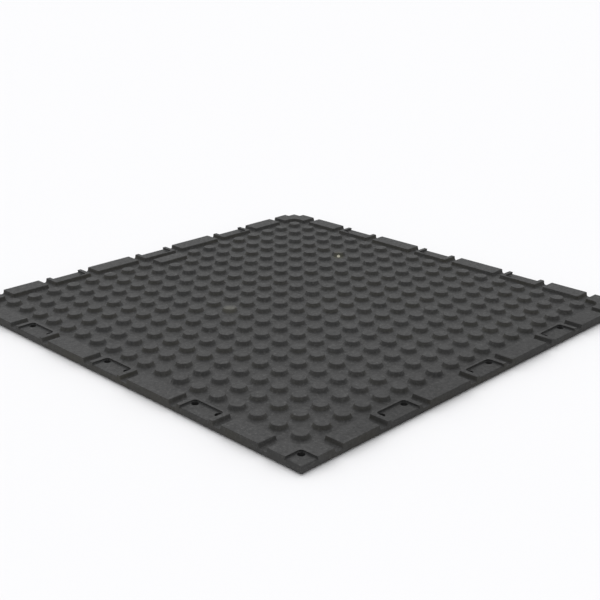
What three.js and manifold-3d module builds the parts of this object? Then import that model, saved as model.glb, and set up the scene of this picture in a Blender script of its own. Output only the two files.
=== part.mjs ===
// Interlocking rubber gym floor tile, moulded in one piece and lying with its studded underside up.
// Millimetres, +Z up. The origin is at the middle of the tread face, which is the face that lies on the floor.

import * as THREE from 'three';
import { mergeVertices } from 'three/addons/utils/BufferGeometryUtils.js';
import Module from 'manifold-3d';

// Overall sizes
const SIDE = 1000;
const THICKNESS = 20;
const STUD_HEIGHT = 9;
const TREAD_CHAMFER = 4;

// Round studs in a square grid
const STUD_PITCH = 50;
const STUD_TOP_DIAMETER = 26;
const STUD_BASE_DIAMETER = 34;
const STUD_SIDES = 8;
const STUD_CLEARANCE = 3;

// Raised border, cut through by short channels
const BORDER_WIDTH = 40;
const CHANNEL_WIDTH = 20;
const WALL_DRAFT = 1.5;
const BLOCKS_PER_SIDE = 3;
const CORNER_ARM = 75;
const ARM_FILLET_LEG = 12;

// Connector pockets and their pin holes
const POCKET_LENGTH = 73;
const POCKET_DEPTH = 4.5;
const POCKET_CORNER_LEG = 4;
const POCKET_LIP = 2;
const RIM_AT_END = 10;
const RIM_AT_BACK = 5;
const PIN_HOLE_DIAMETER = 12;
const PIN_HOLE_DEPTH = 9;
const PIN_HOLE_MARGIN = 0.5;
const PIN_HOLE_SIDES = 7;

// Plain raised plate that stands in for the two middle studs of one outer row
const PLATE_LENGTH = 78;
const PLATE_WIDTH = 33;

// Sizes that follow from the ones above
const HALF = SIDE / 2;
const BASE_TOP = THICKNESS - STUD_HEIGHT;
const BLOCK_LENGTH = POCKET_LENGTH + 2 * RIM_AT_END;
const BLOCK_SPACING = SIDE / (BLOCKS_PER_SIDE + 1);
const POCKET_REACH = BORDER_WIDTH - RIM_AT_BACK;
const POCKET_FLOOR = THICKNESS - POCKET_DEPTH;
const PIN_HOLE_RADIUS = PIN_HOLE_DIAMETER / 2;
const PIN_HOLE_INSET = PIN_HOLE_RADIUS + PIN_HOLE_MARGIN;
const FIELD_HALF = HALF - BORDER_WIDTH - WALL_DRAFT - STUD_CLEARANCE;
const STUD_COUNT = Math.floor((2 * FIELD_HALF - STUD_BASE_DIAMETER) / STUD_PITCH) + 1;
const FIRST_STUD = -(STUD_COUNT - 1) * STUD_PITCH / 2;
const PLATE_Y = FIRST_STUD + (STUD_COUNT - 1) * STUD_PITCH;

// How far joined shapes run into each other, and how far cutting shapes run past the face they cut
const SINK = 1;
const OVERCUT = 5;

const wasm = await Module();
wasm.setup();

// A closed three.js geometry as a solid
function solidOf(geometry) {
  const bare = geometry.clone();
  bare.deleteAttribute('normal');
  bare.deleteAttribute('uv');
  const merged = mergeVertices(bare, 1e-4);
  return new wasm.Manifold(new wasm.Mesh({
    numProp: 3,
    vertProperties: Float32Array.from(merged.attributes.position.array),
    triVerts: Uint32Array.from(merged.index.array)
  }));
}

// A solid as a flat-shaded three.js geometry
function geometryOf(solid) {
  const mesh = solid.getMesh();
  const geometry = new THREE.BufferGeometry();
  geometry.setAttribute('position', new THREE.BufferAttribute(Float32Array.from(mesh.vertProperties), 3));
  geometry.setIndex(new THREE.BufferAttribute(Uint32Array.from(mesh.triVerts), 1));
  const flat = geometry.toNonIndexed();
  flat.computeVertexNormals();
  return flat;
}

// A block between two heights. Each side of its lower end may reach further out than its upper end.
function slopedBlock(upper, spread, zLow, zHigh) {
  const box = new THREE.BoxGeometry(1, 1, 1);
  const position = box.attributes.position;
  for (let i = 0; i < position.count; i += 1) {
    const low = position.getZ(i) < 0;
    const left = upper.left - (low ? spread.left : 0);
    const right = upper.right + (low ? spread.right : 0);
    const front = upper.front - (low ? spread.front : 0);
    const back = upper.back + (low ? spread.back : 0);
    position.setXYZ(
      i,
      position.getX(i) < 0 ? left : right,
      position.getY(i) < 0 ? front : back,
      low ? zLow : zHigh
    );
  }
  return box;
}

const UPRIGHT = { left: 0, right: 0, front: 0, back: 0 };

// An upright shape with the same outline from one height to another
function prism(points, zLow, zHigh) {
  const outline = new THREE.Shape(points.map(([x, y]) => new THREE.Vector2(x, y)));
  const shape = new THREE.ExtrudeGeometry(outline, { depth: zHigh - zLow, bevelEnabled: false });
  shape.translate(0, 0, zLow);
  return shape;
}

// A round shape standing on its end, wider at the bottom where the radii differ
function standingRound(x, y, radiusTop, radiusBottom, zLow, zHigh, sides) {
  const round = new THREE.CylinderGeometry(radiusTop, radiusBottom, zHigh - zLow, sides);
  round.rotateX(Math.PI / 2);
  round.rotateZ(Math.PI / sides);
  round.translate(x, y, (zLow + zHigh) / 2);
  return round;
}

// The flat plate under everything, with a chamfer all round the tread face
function basePlate() {
  const square = { left: -HALF, right: HALF, front: -HALF, back: HALF };
  const body = slopedBlock(square, UPRIGHT, TREAD_CHAMFER, BASE_TOP);
  const narrowing = {
    left: -TREAD_CHAMFER, right: -TREAD_CHAMFER, front: -TREAD_CHAMFER, back: -TREAD_CHAMFER
  };
  const chamfered = slopedBlock(square, narrowing, 0, TREAD_CHAMFER);
  return [body, chamfered];
}

// A stretch of the raised border along the front edge, from one x to another
function borderPad(from, to) {
  const upper = { left: from, right: to, front: -HALF, back: -HALF + BORDER_WIDTH };
  const spread = { left: WALL_DRAFT, right: WALL_DRAFT, front: 0, back: WALL_DRAFT };
  const run = sunkSpread(spread);
  return slopedBlock(upper, run, BASE_TOP - SINK, THICKNESS);
}

// The same wall slope carried down to where a raised shape ends inside the plate
function sunkSpread(spread) {
  const scale = (STUD_HEIGHT + SINK) / STUD_HEIGHT;
  return {
    left: spread.left * scale, right: spread.right * scale, front: spread.front * scale, back: spread.back * scale
  };
}

// The part of a corner's raised border that lies along the front edge at the left corner
function cornerArm() {
  const upper = { left: -HALF, right: -HALF + CORNER_ARM, front: -HALF, back: -HALF + BORDER_WIDTH };
  const spread = { left: 0, right: WALL_DRAFT, front: 0, back: WALL_DRAFT };
  return slopedBlock(upper, sunkSpread(spread), BASE_TOP - SINK, THICKNESS);
}

// What fills the inner bend between a corner's two arms: a block set slantwise across the bend
function cornerFilling() {
  const reach = ARM_FILLET_LEG / Math.SQRT2;
  const upper = { left: -reach - SINK, right: reach + SINK, front: -reach, back: reach };
  const spread = { left: 0, right: 0, front: 0, back: WALL_DRAFT };
  const block = slopedBlock(upper, sunkSpread(spread), BASE_TOP - SINK, THICKNESS);
  block.rotateZ(-Math.PI / 4);
  block.translate(-HALF + BORDER_WIDTH, -HALF + BORDER_WIDTH, 0);
  return block;
}

// Middles of the connector blocks along an edge
function blockMiddles() {
  const middles = [];
  for (let i = 1; i <= BLOCKS_PER_SIDE; i += 1) {
    middles.push(-HALF + i * BLOCK_SPACING);
  }
  return middles;
}

// Raised pieces of the border along the front edge: connector blocks and the long pads between them
function frontBorder() {
  const pieces = [cornerArm()];
  let padStart = -HALF + CORNER_ARM + CHANNEL_WIDTH;
  for (const middle of blockMiddles()) {
    const blockStart = middle - BLOCK_LENGTH / 2;
    const blockEnd = middle + BLOCK_LENGTH / 2;
    pieces.push(borderPad(padStart, blockStart - CHANNEL_WIDTH));
    pieces.push(borderPad(blockStart, blockEnd));
    padStart = blockEnd + CHANNEL_WIDTH;
  }
  pieces.push(borderPad(padStart, HALF - CORNER_ARM - CHANNEL_WIDTH));
  const otherArm = cornerArm();
  otherArm.rotateZ(Math.PI / 2);
  pieces.push(otherArm);
  pieces.push(cornerFilling());
  return pieces;
}

// A round blind hole for a connector's pin
function pinHole(x, y) {
  const low = POCKET_FLOOR - PIN_HOLE_DEPTH;
  const radius = PIN_HOLE_RADIUS;
  return standingRound(x, y, radius, radius, low, POCKET_FLOOR + OVERCUT, PIN_HOLE_SIDES);
}

// What bevels the outer edge of a pocket's floor along the front edge
function lipBevel(left, right) {
  const upper = { left, right, front: -HALF - OVERCUT, back: -HALF + POCKET_LIP + SINK };
  const narrowing = { left: 0, right: 0, front: 0, back: -POCKET_LIP - SINK };
  return slopedBlock(upper, narrowing, POCKET_FLOOR - POCKET_LIP, POCKET_FLOOR + SINK);
}

// A pocket that opens on the front edge, with a pin hole in each inner corner
function edgePocket(middle) {
  const left = middle - POCKET_LENGTH / 2;
  const right = middle + POCKET_LENGTH / 2;
  const back = -HALF + POCKET_REACH;
  const outline = [
    [left, -HALF - OVERCUT], [right, -HALF - OVERCUT],
    [right, back - POCKET_CORNER_LEG], [right - POCKET_CORNER_LEG, back],
    [left + POCKET_CORNER_LEG, back], [left, back - POCKET_CORNER_LEG]
  ];
  return [
    prism(outline, POCKET_FLOOR, THICKNESS + OVERCUT),
    lipBevel(left, right),
    pinHole(left + PIN_HOLE_INSET, back - PIN_HOLE_INSET),
    pinHole(right - PIN_HOLE_INSET, back - PIN_HOLE_INSET)
  ];
}

// A square pocket that opens on both edges of the front left corner, with one pin hole
function cornerPocket() {
  const outside = -HALF - OVERCUT;
  const inner = -HALF + POCKET_REACH;
  const outline = [
    [outside, outside], [inner, outside],
    [inner, inner - POCKET_CORNER_LEG], [inner - POCKET_CORNER_LEG, inner],
    [outside, inner]
  ];
  const otherLip = lipBevel(-inner, -outside);
  otherLip.rotateZ(-Math.PI / 2);
  return [
    prism(outline, POCKET_FLOOR, THICKNESS + OVERCUT),
    lipBevel(outside, inner),
    otherLip,
    pinHole(inner - PIN_HOLE_INSET, inner - PIN_HOLE_INSET)
  ];
}

function frontCuts() {
  return [...blockMiddles().flatMap(edgePocket), ...cornerPocket()];
}

// The plain plate behind the middle block of the back edge
function raisedPlate() {
  const upper = {
    left: -PLATE_LENGTH / 2, right: PLATE_LENGTH / 2,
    front: PLATE_Y - PLATE_WIDTH / 2, back: PLATE_Y + PLATE_WIDTH / 2
  };
  const spread = { left: WALL_DRAFT, right: WALL_DRAFT, front: WALL_DRAFT, back: WALL_DRAFT };
  return slopedBlock(upper, sunkSpread(spread), BASE_TOP - SINK, THICKNESS);
}

// True where a stud would run into the raised plate
function plateTakes(x, y) {
  const reach = STUD_BASE_DIAMETER / 2;
  return Math.abs(x) < PLATE_LENGTH / 2 + reach && Math.abs(y - PLATE_Y) < PLATE_WIDTH / 2 + reach;
}

// One stud, with its slope carried on down into the plate
function stud(x, y) {
  const radiusTop = STUD_TOP_DIAMETER / 2;
  const slope = (STUD_BASE_DIAMETER - STUD_TOP_DIAMETER) / 2 / STUD_HEIGHT;
  const radiusSunk = radiusTop + slope * (STUD_HEIGHT + SINK);
  return standingRound(x, y, radiusTop, radiusSunk, BASE_TOP - SINK, THICKNESS, STUD_SIDES);
}

function studField() {
  const studs = [];
  for (let column = 0; column < STUD_COUNT; column += 1) {
    for (let row = 0; row < STUD_COUNT; row += 1) {
      const x = FIRST_STUD + column * STUD_PITCH;
      const y = FIRST_STUD + row * STUD_PITCH;
      if (!plateTakes(x, y)) studs.push(stud(x, y));
    }
  }
  return studs;
}

// The front edge's shapes turned round to all four edges
function onAllEdges(makeShapes) {
  const shapes = [];
  for (let turn = 0; turn < 4; turn += 1) {
    for (const shape of makeShapes()) {
      shape.rotateZ(turn * Math.PI / 2);
      shapes.push(shape);
    }
  }
  return shapes;
}

function rubberTile() {
  const raised = [...basePlate(), ...onAllEdges(frontBorder), raisedPlate(), ...studField()];
  const whole = wasm.Manifold.union(raised.map(solidOf));
  const cuts = wasm.Manifold.union(onAllEdges(frontCuts).map(solidOf));
  const material = new THREE.MeshStandardMaterial({ color: 0x454544, roughness: 0.85, metalness: 0 });
  const mesh = new THREE.Mesh(geometryOf(whole.subtract(cuts)), material);
  mesh.name = 'rubber_tile';
  return mesh;
}

const group = new THREE.Group();
group.name = 'gym_floor_tile';
group.add(rubberTile());

export default group;
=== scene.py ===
# Rubber gym floor tile, moulded in one piece and lying with its studded underside up.
# The shape is built in millimetres and brought to metres at the end. +Z is up, and the origin
# is at the middle of the tread face, which lies on the floor.
import math

import bmesh
import bpy
from mathutils import Matrix, Vector


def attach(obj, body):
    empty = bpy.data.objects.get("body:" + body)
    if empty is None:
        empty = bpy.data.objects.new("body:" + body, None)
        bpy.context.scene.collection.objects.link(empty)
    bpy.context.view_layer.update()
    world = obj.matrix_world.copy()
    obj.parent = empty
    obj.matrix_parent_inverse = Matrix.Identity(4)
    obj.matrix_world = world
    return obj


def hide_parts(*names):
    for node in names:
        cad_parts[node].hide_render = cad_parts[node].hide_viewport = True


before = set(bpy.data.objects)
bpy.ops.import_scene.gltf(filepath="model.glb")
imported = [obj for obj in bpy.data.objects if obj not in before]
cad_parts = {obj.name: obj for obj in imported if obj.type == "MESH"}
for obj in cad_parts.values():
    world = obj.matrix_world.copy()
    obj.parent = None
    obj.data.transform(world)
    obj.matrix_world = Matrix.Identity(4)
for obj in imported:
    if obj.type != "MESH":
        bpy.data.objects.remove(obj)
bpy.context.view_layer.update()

MM = 0.001
SIDES = 4

# Overall sizes, in millimetres like all the sizes of the shape
HALF = 500.0
THICKNESS = 20.0
BASE_TOP = 11.0
TREAD_CHAMFER = 4.0

# Studs
STUD_PITCH = 50.0
STUD_COUNT = 18
STUD_SEGMENTS = 24
FIELD_HALF = STUD_PITCH * STUD_COUNT / 2
# Radius and height of each ring of a stud, from the flat base up over the rounded rim
STUD_RINGS = (
    (20.0, 11.0),
    (18.5, 11.25),
    (17.3, 12.0),
    (16.4, 13.3),
    (14.0, 18.9),
    (13.4, 19.7),
    (12.5, 20.0),
)
# The direction of a cell's first corner, in degrees
FIRST_CORNER = -135

# Raised border
BORDER_WIDTH = 40.0
CHANNEL_WIDTH = 20.0
CORNER_ARM = 75.0
PAD_CORNER_RADIUS = 2.5
PAD_CORNER_STEPS = 4
INNER_CORNER_RADIUS = 20.0
INNER_CORNER_STEPS = 8
# How far outside a pad's top outline its wall lies, and at what height, from inside the plate upwards
PAD_WALL = (
    (6.3, 10.7),
    (3.2, 11.25),
    (2.2, 12.0),
    (1.5, 13.2),
    (0.9, 15.3),
    (0.0, 20.0),
)
BLOCK_LENGTH = 93.0
BLOCK_MIDDLES = (-250.0, 0.0, 250.0)

# Connector pockets and pin holes. An undercut is how much wider they are at the floor.
POCKET_LENGTH = 73.0
POCKET_REACH = 35.0
POCKET_FLOOR = 15.5
POCKET_CORNER_RADIUS = 6.5
POCKET_CORNER_STEPS = 6
POCKET_UNDERCUT = 1.2
HOLE_RADIUS = 6.6
HOLE_UNDERCUT = 1.5
HOLE_BOTTOM = 6.5
HOLE_INSET = 6.8
HOLE_SEGMENTS = 32
OVERCUT = 5.0

# Plain raised plate at the back edge: half its length and width, and the middle of it
PLATE_HALF_LENGTH = 39.0
PLATE_HALF_WIDTH = 16.5
PLATE_Y = 425.0
PLATE_CORNER_RADIUS = 3.0
PLATE_LEAST_RADIUS = 0.4
PLATE_CORNER_HALF_STEPS = 3
# How far outside the plate's top outline each of its rings lies, and at what height
PLATE_RINGS = (
    (4.7, 11.0),
    (3.2, 11.25),
    (2.2, 12.0),
    (1.5, 13.2),
    (0.9, 15.3),
    (0.2, 18.7),
    (-0.3, 19.65),
    (-1.1, 20.0),
)

# Rounding of the moulded edges, and of the outer edges of the pockets' floors
EDGE_RADIUS = 1.0
LIP_RADIUS = 6.0
EDGE_SEGMENTS = 3
EDGE_ANGLE = math.radians(35)
SEAM_ANGLE = math.radians(0.5)
WELD_DISTANCE = 0.01

# From here on all sizes are in metres. A noise is its scale, detail and roughness. A range is the
# lowest and highest value that it takes, and what it makes of each.
RUBBER_DARK = (0.0155, 0.0155, 0.016, 1)
RUBBER_PALE = (0.0225, 0.0225, 0.0225, 1)
PATCH_NOISE = (26.0, 4.0, 0.6)
PATCH_RANGE = (0.3, 0.7, 0.0, 1.0)
GRAIN_COLOUR = (0.038, 0.038, 0.038, 1)
GRAIN_NOISE = (900.0, 3.0, 0.6)
GRAIN_RANGE = (0.35, 0.7, 0.0, 0.7)
FLECK_COLOUR = (0.072, 0.072, 0.071, 1)
FLECK_NOISE = (210.0, 4.0, 0.7)
FLECK_RANGE = (0.52, 0.68, 0.0, 0.6)
DRIFT_COLOUR = (0.035, 0.036, 0.037, 1)
DRIFT_NOISE = (2.6, 2.0, 0.5)
DRIFT_RANGE = (0.35, 0.65, 0.0, 0.16)
CAST_COLOUR = (0.029, 0.027, 0.020, 1)
CAST_NOISE = (7.0, 3.0, 0.6)
CAST_RANGE = (0.42, 0.6, 0.1, 0.7)
UPRIGHT_RANGE = (0.25, 0.75, 1.0, 0.0)
GLOSS_NOISE = (140.0, 3.0, 0.6)
ROUGHNESS_RANGE = (0.3, 0.7, 0.72, 0.94)
SPECULAR_LEVEL = 0.44

# Strength and depth of each kind of bump
PATCH_BUMP = (0.25, 0.0008)
FLECK_BUMP = (0.4, 0.0006)
GRAIN_BUMP = (0.55, 0.0004)

# Painted shade: its colour, and a slightly darker strip painted along the front edge, by Y and by X
PAINTED_SHADE_COLOUR = (0.004, 0.004, 0.004, 1)
SHADE_Y_RANGE = (-0.47, -0.40, 0.4, 0.0)
SHADE_X_RANGE = (-0.46, -0.34, 0.0, 1.0)

# Where the painted shade on the pockets' walls and the painted shadow in the pin holes lie: by distance from
# the tile's middle, by distance along the edge from the nearest pocket's middle, and by height
POCKET_HALF_SPACING = 0.125
POCKET_BACK_RANGE = (0.461, 0.463, 0.0, 1.0)
POCKET_MOUTH_RANGE = (0.4985, 0.4995, 1.0, 0.0)
POCKET_END_RANGE = (0.0390, 0.0400, 1.0, 0.0)
HOLE_REACH_RANGE = (0.481, 0.483, 1.0, 0.0)
HOLE_HEIGHT_RANGE = (0.0151, 0.0155, 1.0, 0.0)
# How strongly painted shade darkens the pockets' walls, and the black painted into the pin holes as their
# shadow
POCKET_SHADE_SHARE = 0.9
PAINTED_HOLE_SHADOW = (0.0, 0.0, 0.0, 1)

# Dirt: where it is, the radius and soft rim of each spot, and how much it covers
CRUMB_PLACE = (0.3129, 0.1641, 0.0127)
CRUMB_COLOUR = (0.62, 0.60, 0.49, 1)
CRUMB_SPOT = (0.0030, 0.0015)
HALO_COLOUR = (0.085, 0.082, 0.050, 1)
HALO_SPOT = (0.006, 0.012)
HALO_SHARE = 0.35
SMEAR_PLACE = (-0.129, 0.071, 0.020)
SMEAR_COLOUR = (0.115, 0.112, 0.090, 1)
SMEAR_SPOT = (0.006, 0.014)
SMEAR_SHARE = 0.4

# Floor and lighting
FLOOR_HALF = 40.0
FLOOR_DROP = 0.0004
FLOOR_COLOUR = (0.72, 0.72, 0.73, 1)
BRIGHT_SIDE = (0.42, 0.57, 0.71)
SKY_RANGE = (-0.35, 0.95, 1.0, 1.15)
SUN_SIDE = (0.28, 0.49, 0.82)
SUN_STRENGTH = 1.0
SUN_SPREAD = math.radians(70)

# The photograph's camera, found by fitting the tile's outline and studs
CAMERA_AZIMUTH = math.radians(-45.939)
CAMERA_ELEVATION = math.radians(20.278)
CAMERA_ROLL = math.radians(0.553)
CAMERA_TARGET = Vector((0.0501, 0.0390, 0.0))
CAMERA_DISTANCE = 2.3278
SENSOR = 36.0
FOCAL_PIXELS = 1059.6
IMAGE_WIDTH = 600
NEAREST_SEEN = 0.05
FARTHEST_SEEN = 200.0


def object_from(name, bm):
    """A new object in the scene from a bmesh, which is freed."""
    mesh = bpy.data.meshes.new(name)
    bm.to_mesh(mesh)
    bm.free()
    made = bpy.data.objects.new(name, mesh)
    bpy.context.collection.objects.link(made)
    return made


def apply_modifiers(piece):
    """Makes the piece's modifiers part of its mesh."""
    graph = bpy.context.evaluated_depsgraph_get()
    done = bpy.data.meshes.new_from_object(piece.evaluated_get(graph))
    piece.modifiers.clear()
    old = piece.data
    piece.data = done
    bpy.data.meshes.remove(old)


def combine(piece, other, operation):
    """Joins the other object to the piece or cuts it out of the piece, and removes the other."""
    step = piece.modifiers.new("combine", "BOOLEAN")
    step.operation = operation
    step.solver = "EXACT"
    step.object = other
    apply_modifiers(piece)
    bpy.data.objects.remove(other)


def ring_of(bm, points):
    """Vertices for a closed row of points."""
    return [bm.verts.new(point) for point in points]


def wall_between(bm, lower, upper):
    """Quads between two closed rows of equally many vertices."""
    count = len(lower)
    for i in range(count):
        j = (i + 1) % count
        bm.faces.new((lower[i], lower[j], upper[j], upper[i]))


def stack(bm, rings):
    """Quads from each ring of vertices to the next, and a cap on the last."""
    for lower, upper in zip(rings, rings[1:]):
        wall_between(bm, lower, upper)
    bm.faces.new(rings[-1])


def loft(bm, outlines):
    """A closed solid through outlines that run counterclockwise, each with its height, from low to high."""
    rings = [ring_of(bm, [(x, y, z) for x, y in points]) for points, z in outlines]
    stack(bm, rings)
    bm.faces.new(list(reversed(rings[0])))


def turned(points, turn):
    """Points of the front edge carried to another edge by quarter turns about the middle."""
    for _ in range(turn):
        points = [(-y, x) for x, y in points]
    return points


def arc(x, y, radius, start, end, steps):
    """Points on an arc, from one angle in degrees to another."""
    points = []
    for i in range(steps + 1):
        angle = math.radians(start + (end - start) * i / steps)
        points.append((x + radius * math.cos(angle), y + radius * math.sin(angle)))
    return points


def circle(x, y, radius, start, steps):
    """Points all the way round a circle."""
    return arc(x, y, radius, start, start + 360, steps)[:-1]


def slab():
    """The flat plate. Its top is a frame of cells round one inner face, which has material index 1."""
    bm = bmesh.new()
    lines = [-HALF] + [-FIELD_HALF + STUD_PITCH * i for i in range(STUD_COUNT + 1)] + [HALF]
    last = len(lines) - 1
    top = {}

    def corner(i, j):
        if (i, j) not in top:
            top[i, j] = bm.verts.new((lines[i], lines[j], BASE_TOP))
        return top[i, j]

    for i in range(last):
        for j in range(last):
            if i in (0, last - 1) or j in (0, last - 1):
                bm.faces.new((corner(i, j), corner(i + 1, j), corner(i + 1, j + 1), corner(i, j + 1)))

    def square_path(first, end):
        path = [(i, first) for i in range(first, end)]
        path += [(end, j) for j in range(first, end)]
        path += [(i, end) for i in range(end, first, -1)]
        path += [(first, j) for j in range(end, first, -1)]
        return path

    inner = bm.faces.new([corner(i, j) for i, j in square_path(1, last - 1)])
    inner.material_index = 1
    outline = [corner(i, j) for i, j in square_path(0, last)]
    side = ring_of(bm, [(v.co.x, v.co.y, TREAD_CHAMFER) for v in outline])
    shrink = (HALF - TREAD_CHAMFER) / HALF
    tread = ring_of(bm, [(v.co.x * shrink, v.co.y * shrink, 0.0) for v in outline])
    wall_between(bm, side, outline)
    wall_between(bm, tread, side)
    bm.faces.new(list(reversed(tread)))
    return object_from("slab", bm)


def border_stretches():
    """Where the straight raised pads start and end along an edge."""
    stretches = []
    start = -HALF + CORNER_ARM + CHANNEL_WIDTH
    for middle in BLOCK_MIDDLES:
        stretches.append((start, middle - BLOCK_LENGTH / 2 - CHANNEL_WIDTH))
        stretches.append((middle - BLOCK_LENGTH / 2, middle + BLOCK_LENGTH / 2))
        start = middle + BLOCK_LENGTH / 2 + CHANNEL_WIDTH
    stretches.append((start, HALF - CORNER_ARM - CHANNEL_WIDTH))
    return stretches


def straight_pad(start, end, out):
    """The outline of a straight pad on the front edge, moved outwards by the given amount."""
    radius = PAD_CORNER_RADIUS + out
    top = -HALF + BORDER_WIDTH + out
    points = [(start - out, -HALF), (end + out, -HALF)]
    points += arc(end + out - radius, top - radius, radius, 0, 90, PAD_CORNER_STEPS)
    points += arc(start - out + radius, top - radius, radius, 90, 180, PAD_CORNER_STEPS)
    return points


def angled_pad(out):
    """The outline of the L-shaped pad in the front left corner, moved outwards by the given amount."""
    inner = -HALF + BORDER_WIDTH
    arm = -HALF + CORNER_ARM
    radius = PAD_CORNER_RADIUS + out
    reach = arm + out - radius
    level = inner + out - radius
    hollow = INNER_CORNER_RADIUS - out
    bend = inner + out + hollow
    points = [(-HALF, -HALF), (arm + out, -HALF)]
    points += arc(reach, level, radius, 0, 90, PAD_CORNER_STEPS)
    points += arc(bend, bend, hollow, 270, 180, INNER_CORNER_STEPS)
    points += arc(level, reach, radius, 0, 90, PAD_CORNER_STEPS)
    points += [(-HALF, arm + out)]
    return points


def border():
    """All the raised pads of the border, each reaching a little down into the plate."""
    bm = bmesh.new()
    for turn in range(SIDES):
        for start, end in border_stretches():
            loft(bm, [(turned(straight_pad(start, end, out), turn), z) for out, z in PAD_WALL])
        loft(bm, [(turned(angled_pad(out), turn), z) for out, z in PAD_WALL])
    return object_from("border", bm)


def edge_pocket(middle, out):
    """The outline of a pocket on the front edge, moved outwards by the given amount."""
    outside = -HALF - OVERCUT
    left = middle - POCKET_LENGTH / 2 - out
    right = middle + POCKET_LENGTH / 2 + out
    back = -HALF + POCKET_REACH + out
    radius = POCKET_CORNER_RADIUS + out
    points = [(left, outside), (right, outside)]
    points += arc(right - radius, back - radius, radius, 0, 90, POCKET_CORNER_STEPS)
    points += arc(left + radius, back - radius, radius, 90, 180, POCKET_CORNER_STEPS)
    return points


def corner_pocket(out):
    """The outline of the pocket in the front left corner, moved outwards by the given amount."""
    outside = -HALF - OVERCUT
    back = -HALF + POCKET_REACH + out
    radius = POCKET_CORNER_RADIUS + out
    points = [(outside, outside), (back, outside)]
    points += arc(back - radius, back - radius, radius, 0, 90, POCKET_CORNER_STEPS)
    points += [(outside, back)]
    return points


def pockets():
    """What is cut out of the border for the connectors: open outwards, and a little wider at the floor."""
    bm = bmesh.new()
    above = THICKNESS + OVERCUT
    rise = (above - POCKET_FLOOR) / (THICKNESS - POCKET_FLOOR)
    low_out = POCKET_UNDERCUT
    high_out = POCKET_UNDERCUT * (1 - rise)
    for turn in range(SIDES):
        for middle in BLOCK_MIDDLES:
            low = turned(edge_pocket(middle, low_out), turn)
            high = turned(edge_pocket(middle, high_out), turn)
            loft(bm, [(low, POCKET_FLOOR), (high, above)])
        low = turned(corner_pocket(low_out), turn)
        high = turned(corner_pocket(high_out), turn)
        loft(bm, [(low, POCKET_FLOOR), (high, above)])
    return object_from("pockets", bm)


def pin_holes():
    """What is cut out of the pockets' floors for the connectors' pins."""
    bm = bmesh.new()
    inset = -HALF + POCKET_REACH - HOLE_INSET
    centres = [(inset, inset)]
    for middle in BLOCK_MIDDLES:
        reach = POCKET_LENGTH / 2 - HOLE_INSET
        centres += [(middle - reach, inset), (middle + reach, inset)]
    for turn in range(SIDES):
        for x, y in turned(centres, turn):
            low = circle(x, y, HOLE_RADIUS + HOLE_UNDERCUT, 0, HOLE_SEGMENTS)
            high = circle(x, y, HOLE_RADIUS, 0, HOLE_SEGMENTS)
            loft(bm, [(low, HOLE_BOTTOM), (high, POCKET_FLOOR), (high, POCKET_FLOOR + OVERCUT)])
    return object_from("pin_holes", bm)


def clear_side_seams(bm):
    """Makes one face of each flat side, so that no seam of the joined shapes is left on it."""
    def on_side(face):
        return any(all(abs(abs(v.co[axis]) - HALF) < WELD_DISTANCE for v in face.verts) for axis in (0, 1))

    sides = {face for face in bm.faces if on_side(face)}
    inside = [edge for edge in bm.edges if sides.issuperset(edge.link_faces)]
    seams = [edge for edge in inside if edge.calc_face_angle() < SEAM_ANGLE]
    points = dict.fromkeys(v for edge in seams for v in edge.verts)
    bmesh.ops.dissolve_limit(bm, angle_limit=SEAM_ANGLE, verts=list(points), edges=seams)


def on_lip(edge):
    """Whether an edge is the outer edge of a pocket's floor."""
    level = all(abs(v.co.z - POCKET_FLOOR) < WELD_DISTANCE for v in edge.verts)
    return level and all(max(abs(v.co.x), abs(v.co.y)) > HALF - WELD_DISTANCE for v in edge.verts)


def round_edges(piece):
    """Rounds every sharp outward edge as a mould does, and leaves inward ones as they are."""
    bm = bmesh.new()
    bm.from_mesh(piece.data)
    clear_side_seams(bm)
    weights = bm.edges.layers.float.new("bevel_weight_edge")
    for edge in bm.edges:
        if len(edge.link_faces) == 2 and edge.is_convex and edge.calc_face_angle() > EDGE_ANGLE:
            edge[weights] = 1.0 if on_lip(edge) else EDGE_RADIUS / LIP_RADIUS
    bm.to_mesh(piece.data)
    bm.free()
    step = piece.modifiers.new("round", "BEVEL")
    step.width = LIP_RADIUS
    step.segments = EDGE_SEGMENTS
    step.limit_method = "WEIGHT"
    step.use_clamp_overlap = False
    apply_modifiers(piece)


def four_sides(bm, outer_sides, loop):
    """Flat faces between a four-sided outline and a closed row inside it that starts at the same corner."""
    quarter = len(loop) // SIDES
    for side, outer in enumerate(outer_sides):
        inner = [loop[(side * quarter + k) % len(loop)] for k in range(quarter + 1)]
        bm.faces.new(outer + list(reversed(inner)))


def stud(bm, x, y, outer_sides):
    """A round stud in the middle of its square cell, joined to the cell's outline."""
    rings = []
    for radius, z in STUD_RINGS:
        points = circle(x, y, radius, FIRST_CORNER, STUD_SEGMENTS)
        rings.append(ring_of(bm, [(px, py, z) for px, py in points]))
    four_sides(bm, outer_sides, rings[0])
    stack(bm, rings)


def plate_outline(out):
    """The raised plate's outline, moved outwards by the given amount. It starts in the middle of a corner."""
    radius = max(PLATE_CORNER_RADIUS + out, PLATE_LEAST_RADIUS)
    far_x = PLATE_HALF_LENGTH + out - radius
    far_y = PLATE_HALF_WIDTH + out - radius
    steps = PLATE_CORNER_HALF_STEPS
    points = []
    for sign_x, sign_y, start in ((-1, -1, 180), (1, -1, 270), (1, 1, 0), (-1, 1, 90)):
        points += arc(sign_x * far_x, PLATE_Y + sign_y * far_y, radius, start, start + 90, 2 * steps)
    return points[steps:] + points[:steps]


def raised_plate(bm, outer_sides):
    """The plain plate that takes the place of two studs."""
    rings = []
    for out, z in PLATE_RINGS:
        rings.append(ring_of(bm, [(px, py, z) for px, py in plate_outline(out)]))
    four_sides(bm, outer_sides, rings[0])
    stack(bm, rings)


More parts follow.
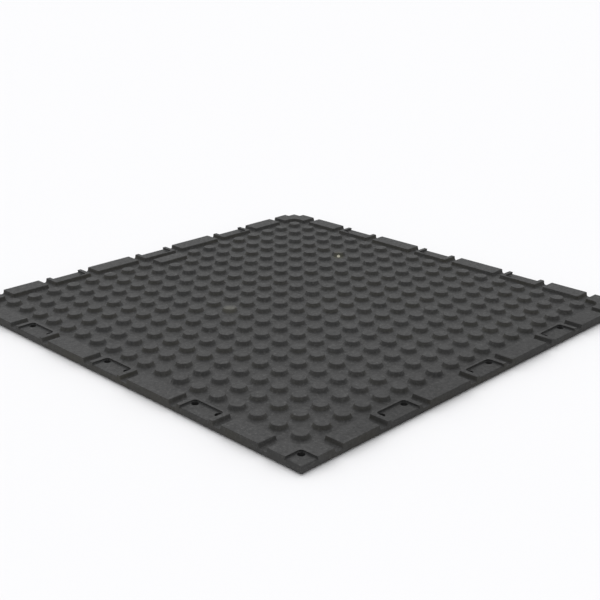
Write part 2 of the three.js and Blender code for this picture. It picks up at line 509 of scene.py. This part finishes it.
def stud_field():
    """Square cells in the inner face's place, each with its stud."""
    bm = bmesh.new()
    grid = {}

    def corner(i, j):
        if (i, j) not in grid:
            grid[i, j] = bm.verts.new((-FIELD_HALF + STUD_PITCH * i, -FIELD_HALF + STUD_PITCH * j, BASE_TOP))
        return grid[i, j]

    middle = STUD_COUNT // 2
    last = STUD_COUNT - 1
    for i in range(STUD_COUNT):
        for j in range(STUD_COUNT):
            if j == last and i in (middle - 1, middle):
                continue
            a, b, c, d = corner(i, j), corner(i + 1, j), corner(i + 1, j + 1), corner(i, j + 1)
            x = -FIELD_HALF + STUD_PITCH * (i + 0.5)
            y = -FIELD_HALF + STUD_PITCH * (j + 0.5)
            stud(bm, x, y, [[a, b], [b, c], [c, d], [d, a]])
    low = [corner(middle + k, last) for k in (-1, 0, 1)]
    high = [corner(middle + k, last + 1) for k in (1, 0, -1)]
    raised_plate(bm, [low, [low[-1], high[0]], high, [high[-1], low[0]]])
    return object_from("stud_field", bm)


def weld(body, field):
    """Puts the stud field in place of the body's inner face, as one closed mesh in metres."""
    bm = bmesh.new()
    bm.from_mesh(body.data)
    inner = [face for face in bm.faces if face.material_index == 1]
    bmesh.ops.delete(bm, geom=inner, context="FACES")
    bm.from_mesh(field.data)
    bmesh.ops.remove_doubles(bm, verts=bm.verts, dist=WELD_DISTANCE)
    bmesh.ops.recalc_face_normals(bm, faces=bm.faces)
    for face in bm.faces:
        face.material_index = 0
        face.smooth = True
    bm.transform(Matrix.Scale(MM, 4))
    bpy.data.objects.remove(body)
    bpy.data.objects.remove(field)
    return object_from("tile", bm)


def make_tile():
    """The whole tile as one closed mesh."""
    body = slab()
    combine(body, border(), "UNION")
    combine(body, pockets(), "DIFFERENCE")
    round_edges(body)
    combine(body, pin_holes(), "DIFFERENCE")
    tile = weld(body, stud_field())
    tile.modifiers.new("level", "WEIGHTED_NORMAL")
    apply_modifiers(tile)
    return tile


class Nodes:
    """Short ways to add nodes to a material or world."""

    def __init__(self, tree):
        self.tree = tree
        tree.nodes.clear()

    def add(self, kind, **settings):
        node = self.tree.nodes.new(kind)
        for name, value in settings.items():
            setattr(node, name, value)
        return node

    def feed(self, socket, source):
        """Links an output to the socket, or sets the socket to a plain value."""
        if isinstance(source, bpy.types.NodeSocket):
            self.tree.links.new(source, socket)
        else:
            socket.default_value = source

    def noise(self, where, scale, detail, roughness):
        node = self.add("ShaderNodeTexNoise")
        self.feed(node.inputs["Vector"], where)
        self.feed(node.inputs["Scale"], scale)
        self.feed(node.inputs["Detail"], detail)
        self.feed(node.inputs["Roughness"], roughness)
        return node.outputs["Fac"]

    def spread(self, value, low, high, to_low, to_high, smooth=False):
        """The value carried from one range to another, and held at its ends."""
        node = self.add("ShaderNodeMapRange")
        if smooth:
            node.interpolation_type = "SMOOTHSTEP"
        for name, source in (("Value", value), ("From Min", low), ("From Max", high),
                             ("To Min", to_low), ("To Max", to_high)):
            self.feed(node.inputs[name], source)
        return node.outputs["Result"]

    def math(self, operation, a, b=0.0):
        node = self.add("ShaderNodeMath", operation=operation)
        self.feed(node.inputs[0], a)
        self.feed(node.inputs[1], b)
        return node.outputs[0]

    def times(self, a, b):
        return self.math("MULTIPLY", a, b)

    def split(self, vector):
        """The X, Y and Z of a vector."""
        node = self.add("ShaderNodeSeparateXYZ")
        self.feed(node.inputs[0], vector)
        return node.outputs["X"], node.outputs["Y"], node.outputs["Z"]

    def mix(self, factor, a, b):
        node = self.add("ShaderNodeMix", data_type="RGBA")
        for name, source in (("Factor_Float", factor), ("A_Color", a), ("B_Color", b)):
            socket = next(s for s in node.inputs if s.identifier == name)
            self.feed(socket, source)
        return next(s for s in node.outputs if s.identifier == "Result_Color")

    def bump(self, height, strength, distance, under=None):
        """A normal from a height, laid over another bump's normal where one is given."""
        node = self.add("ShaderNodeBump")
        self.feed(node.inputs["Height"], height)
        self.feed(node.inputs["Strength"], strength)
        self.feed(node.inputs["Distance"], distance)
        if under is not None:
            self.feed(node.inputs["Normal"], under)
        return node.outputs["Normal"]

    def spot(self, where, centre, radius, soft):
        """One near a point and none beyond a distance from it, all in metres."""
        node = self.add("ShaderNodeVectorMath", operation="DISTANCE")
        self.feed(node.inputs[0], where)
        self.feed(node.inputs[1], centre)
        return self.spread(node.outputs["Value"], radius, radius + soft, 1.0, 0.0, smooth=True)


def mottled(n, where, grain, flecks, patches):
    """Nearly black rubber with a paler grain, pale flecks and slow drifts of tone."""
    drift = n.noise(where, *DRIFT_NOISE)
    colour = n.mix(n.spread(patches, *PATCH_RANGE), RUBBER_DARK, RUBBER_PALE)
    colour = n.mix(n.spread(grain, *GRAIN_RANGE), colour, GRAIN_COLOUR)
    colour = n.mix(n.spread(flecks, *FLECK_RANGE), colour, FLECK_COLOUR)
    return n.mix(n.spread(drift, *DRIFT_RANGE), colour, DRIFT_COLOUR)


def brown_cast(n, where, upright, colour):
    """A brownish cast on the upright faces."""
    share = n.times(upright, n.spread(n.noise(where, *CAST_NOISE), *CAST_RANGE))
    return n.mix(share, colour, CAST_COLOUR)


def painted_front_shade(n, x, y, colour):
    """Painted shade: a slightly darker strip along the front edge, away from the left corner."""
    share = n.times(n.spread(y, *SHADE_Y_RANGE), n.spread(x, *SHADE_X_RANGE))
    return n.mix(share, colour, PAINTED_SHADE_COLOUR)


def painted_pocket_shade(n, x, y, z, upright, colour):
    """Painted shade: blacker walls in the pockets, and black painted into the pin holes as their shadow."""
    across = n.math("ABSOLUTE", x)
    along = n.math("ABSOLUTE", y)
    reach = n.math("MAXIMUM", across, along)
    beside = n.math("PINGPONG", n.math("MINIMUM", across, along), POCKET_HALF_SPACING)
    in_border = n.times(n.spread(reach, *POCKET_BACK_RANGE), n.spread(reach, *POCKET_MOUTH_RANGE))
    in_pocket = n.times(in_border, n.spread(beside, *POCKET_END_RANGE))
    colour = n.mix(n.times(n.times(in_pocket, upright), POCKET_SHADE_SHARE), colour, PAINTED_SHADE_COLOUR)
    low = n.times(in_pocket, n.spread(z, *HOLE_HEIGHT_RANGE))
    return n.mix(n.times(low, n.spread(reach, *HOLE_REACH_RANGE)), colour, PAINTED_HOLE_SHADOW)


def dirt(n, where, colour):
    """A pale crumb beside one stud, with a halo, and a faint smear on another."""
    colour = n.mix(n.spot(where, CRUMB_PLACE, *CRUMB_SPOT), colour, CRUMB_COLOUR)
    colour = n.mix(n.times(n.spot(where, CRUMB_PLACE, *HALO_SPOT), HALO_SHARE), colour, HALO_COLOUR)
    return n.mix(n.times(n.spot(where, SMEAR_PLACE, *SMEAR_SPOT), SMEAR_SHARE), colour, SMEAR_COLOUR)


def rubber_material():
    """Matt black rubber with a fine moulded grain, a little dirt, and painted shade along the front edge, in
    the pockets and in the pin holes.
    """
    material = bpy.data.materials.new("rubber")
    material.use_nodes = True
    n = Nodes(material.node_tree)
    where = n.add("ShaderNodeTexCoord").outputs["Object"]
    facing = n.add("ShaderNodeTexCoord").outputs["Normal"]
    x, y, z = n.split(where)
    upright = n.spread(n.math("ABSOLUTE", n.split(facing)[2]), *UPRIGHT_RANGE)
    grain = n.noise(where, *GRAIN_NOISE)
    flecks = n.noise(where, *FLECK_NOISE)
    patches = n.noise(where, *PATCH_NOISE)

    colour = mottled(n, where, grain, flecks, patches)
    colour = brown_cast(n, where, upright, colour)
    # Painted shade: a darker strip along the front edge
    colour = painted_front_shade(n, x, y, colour)
    # Painted shade on the pockets' walls, and black painted into the pin holes as their shadow
    colour = painted_pocket_shade(n, x, y, z, upright, colour)
    colour = dirt(n, where, colour)

    coarse = n.bump(patches, *PATCH_BUMP)
    finer = n.bump(flecks, *FLECK_BUMP, under=coarse)
    shader = n.add("ShaderNodeBsdfPrincipled")
    n.feed(shader.inputs["Base Color"], colour)
    n.feed(shader.inputs["Roughness"], n.spread(n.noise(where, *GLOSS_NOISE), *ROUGHNESS_RANGE))
    n.feed(shader.inputs["Normal"], n.bump(grain, *GRAIN_BUMP, under=finer))
    n.feed(shader.inputs["Specular IOR Level"], SPECULAR_LEVEL)
    n.feed(n.add("ShaderNodeOutputMaterial").inputs["Surface"], shader.outputs["BSDF"])
    return material


def floor_material():
    """Plain pale floor."""
    material = bpy.data.materials.new("white_floor")
    material.use_nodes = True
    n = Nodes(material.node_tree)
    shader = n.add("ShaderNodeBsdfDiffuse")
    n.feed(shader.inputs["Color"], FLOOR_COLOUR)
    n.feed(n.add("ShaderNodeOutputMaterial").inputs["Surface"], shader.outputs["BSDF"])
    return material


def make_floor():
    """A wide level floor just under the tile."""
    bm = bmesh.new()
    corner = (-FLOOR_HALF, -FLOOR_HALF)
    corners = [turned([corner], turn)[0] for turn in range(SIDES)]
    bm.faces.new(ring_of(bm, [(x, y, -FLOOR_DROP) for x, y in corners]))
    floor = object_from("floor", bm)
    floor.data.materials.append(floor_material())
    return floor


def make_world():
    """A soft white surround, brightest overhead and beyond the tile and dimmest behind the camera."""
    world = bpy.data.worlds.new("surround")
    world.use_nodes = True
    n = Nodes(world.node_tree)
    facing = n.add("ShaderNodeVectorMath", operation="DOT_PRODUCT")
    n.feed(facing.inputs[0], n.add("ShaderNodeTexCoord").outputs["Generated"])
    n.feed(facing.inputs[1], BRIGHT_SIDE)
    background = n.add("ShaderNodeBackground")
    n.feed(background.inputs["Color"], (1.0, 1.0, 1.0, 1.0))
    n.feed(background.inputs["Strength"], n.spread(facing.outputs["Value"], *SKY_RANGE, smooth=True))
    n.feed(n.add("ShaderNodeOutputWorld").inputs["Surface"], background.outputs["Background"])
    bpy.context.scene.world = world


def soft_sun():
    """A very broad light from above and beyond the tile."""
    lamp = bpy.data.lights.new("softbox", "SUN")
    lamp.energy = SUN_STRENGTH
    lamp.angle = SUN_SPREAD
    holder = bpy.data.objects.new("softbox", lamp)
    bpy.context.collection.objects.link(holder)
    holder.rotation_euler = Vector(SUN_SIDE).to_track_quat("Z", "Y").to_euler()


def make_camera():
    """The camera at the photograph's place, with its small roll."""
    data = bpy.data.cameras.new("camera")
    data.sensor_fit = "HORIZONTAL"
    data.sensor_width = SENSOR
    data.lens = SENSOR * FOCAL_PIXELS / IMAGE_WIDTH
    data.clip_start = NEAREST_SEEN
    data.clip_end = FARTHEST_SEEN
    camera = bpy.data.objects.new("camera", data)
    bpy.context.collection.objects.link(camera)
    back = Vector((
        math.sin(CAMERA_AZIMUTH) * math.cos(CAMERA_ELEVATION),
        -math.cos(CAMERA_AZIMUTH) * math.cos(CAMERA_ELEVATION),
        math.sin(CAMERA_ELEVATION),
    ))
    right = Vector((0, 0, 1)).cross(back).normalized()
    up = back.cross(right)
    across = right * math.cos(CAMERA_ROLL) + up * math.sin(CAMERA_ROLL)
    above = up * math.cos(CAMERA_ROLL) - right * math.sin(CAMERA_ROLL)
    eye = CAMERA_TARGET + back * CAMERA_DISTANCE
    columns = Matrix((across, above, back)).transposed().to_4x4()
    camera.matrix_world = Matrix.Translation(eye) @ columns
    bpy.context.scene.camera = camera


tile = make_tile()
tile.data.materials.append(rubber_material())
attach(tile, "root")
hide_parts("rubber_tile")

floor = make_floor()

make_world()
soft_sun()
make_camera()
bpy.context.scene.view_settings.view_transform = "Standard"
